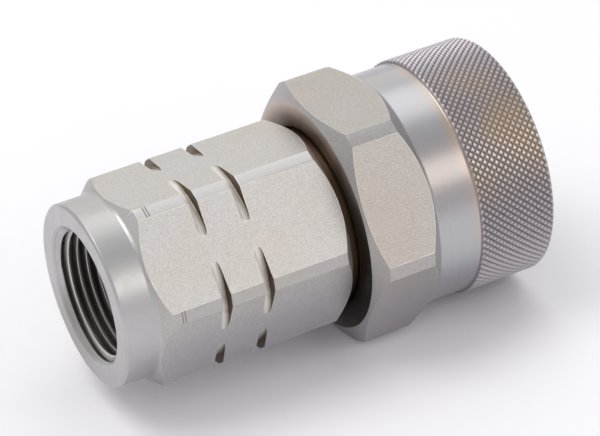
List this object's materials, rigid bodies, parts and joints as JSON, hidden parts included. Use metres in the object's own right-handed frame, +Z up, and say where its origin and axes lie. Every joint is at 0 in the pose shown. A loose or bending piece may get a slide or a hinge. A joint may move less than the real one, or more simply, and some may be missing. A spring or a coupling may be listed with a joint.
{
  "type": "hydraulic quick coupling",
  "caption": "Screw-to-connect hydraulic coupling half: hexagonal body with a threaded port, turning hexagonal sleeve with a knurled grip, and a spring-closed flat-face valve inside.",
  "frame": {"origin": "centre of the port face, on the coupling's axis", "axes": "+X along the axis from the threaded port to the mating mouth, +Z up, with one flat of the turning sleeve facing down"},
  "size_m": [0.087, 0.0516, 0.0468],
  "materials": {
    "plated_steel": "satin clear-plated steel",
    "inner_steel": "fine turned steel",
    "spring_steel": "drawn spring wire",
    "rubber": "matt black nitrile rubber",
    "backup_plastic": "waxy white plastic",
    "bronze": "turned bearing bronze"
  },
  "bodies": {
    "body": {"port_body": "plated_steel", "front_body": "plated_steel", "valve_stem": "inner_steel", "stem_guide": "inner_steel", "guide_snap_ring": "spring_steel", "stem_nut": "inner_steel", "stem_washer": "inner_steel", "spring_seat": "inner_steel", "stem_seal": "rubber", "stem_backup_ring": "backup_plastic", "socket_seal": "rubber", "socket_backup_ring": "backup_plastic", "body_seal": "rubber", "body_backup_ring": "backup_plastic", "thrust_washer": "bronze", "valve_spring": "spring_steel"},
    "sleeve": {"screw_sleeve": "plated_steel", "dust_seal": "rubber"},
    "valve": {"valve_sleeve": "inner_steel"}
  },
  "joints": [
    {"name": "sleeve_turn", "type": "hinge", "parent": "body", "child": "sleeve", "pos_m": [0.0675, 0, 0], "axis": [1, 0, 0], "continuous": true},
    {"name": "valve_slide", "type": "slide", "parent": "body", "child": "valve", "axis": [-1, 0, 0], "range_m": [0, 0.0075], "stiffness_N_per_m": 4000, "springref_m": -0.012, "deforming": ["valve_spring"]}
  ]
}
